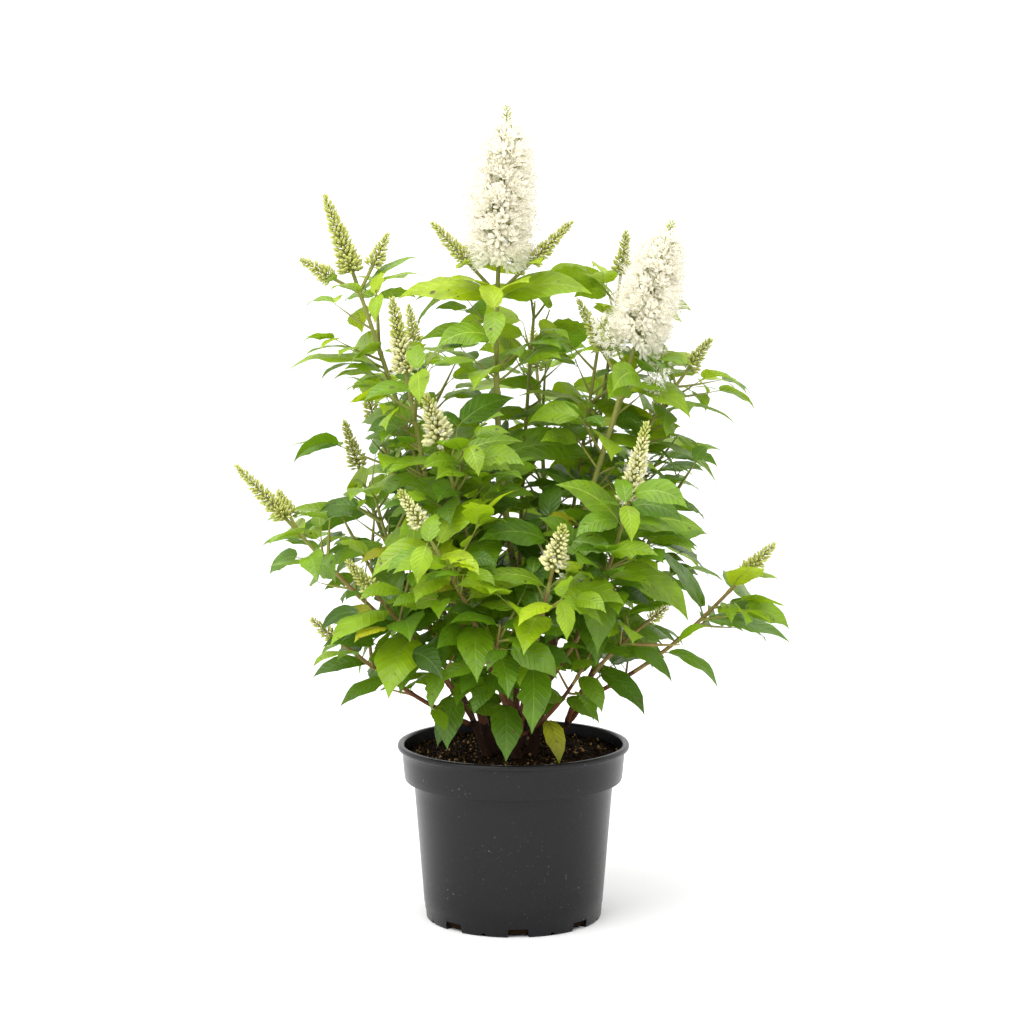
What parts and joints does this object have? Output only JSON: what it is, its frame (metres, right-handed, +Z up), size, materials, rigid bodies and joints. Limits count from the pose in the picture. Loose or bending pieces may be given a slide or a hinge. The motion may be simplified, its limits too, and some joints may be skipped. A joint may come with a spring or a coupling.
{
  "type": "potted clethra shrub",
  "caption": "Flowering clethra shrub in a round nursery pot: woody canes, leafy shoots, upright white blooms and green bud spikes.",
  "frame": {"origin": "middle of the pot's flat underside, on the ground", "axes": "+Z up the plant, -Y towards the front that the picture shows, +X to the right seen from the front"},
  "size_m": [0.4329, 0.3811, 0.658],
  "materials": {
    "plastic": "matte",
    "compost": "matte",
    "bark": "matte",
    "leaf_young": "satin",
    "leaf_mid": "satin",
    "leaf_deep": "satin"
  },
  "bodies": {
    "root": {"back_centre": "leaf_young", "back_fan_1": "leaf_mid", "back_fan_2": "leaf_deep", "back_fan_3": "leaf_mid", "back_fan_4": "leaf_deep", "back_right": "leaf_mid", "back_under_1": "leaf_deep", "back_under_2": "leaf_deep", "back_under_3": "leaf_deep", "back_under_4": "leaf_deep", "bough_back_left": "bark", "bough_back_low": "bark", "bough_back_right": "bark", "bough_centre_back": "bark", "bough_centre_front": "bark", "bough_front_left": "bark", "bough_front_right": "bark", "bough_left_back": "bark", "bough_left_front": "bark", "bough_low_left": "bark", "bough_low_right": "bark", "bough_mid_left": "bark", "bough_right_back": "bark", "bough_right_mid": "bark", "bough_right_upper": "bark", "cane_back": "bark", "cane_back_left": "bark", "cane_centre": "bark", "cane_front": "bark", "cane_left": "bark", "cane_low_left": "bark", "cane_low_right": "bark", "cane_right": "bark", "centre_bloom": "leaf_mid", "centre_inner": "leaf_deep", "compost": "compost", "cream_left": "leaf_mid", "far_left": "leaf_young", "far_right": "leaf_young", "front_centre": "leaf_young", "front_inner": "leaf_deep", "front_left": "leaf_young", "front_right": "leaf_mid", "inner_left": "leaf_mid", "left_inner": "leaf_deep", "low_left": "leaf_mid", "low_right": "leaf_mid", "mid_left": "leaf_mid", "pot": "plastic", "right_bloom": "leaf_mid", "right_inner": "leaf_deep", "right_middle": "leaf_deep", "short_white": "leaf_mid", "skirt_front": "leaf_mid", "skirt_left": "leaf_deep", "skirt_right": "leaf_deep", "tall_left": "leaf_young", "upper_right": "leaf_mid"}
  },
  "joints": []
}
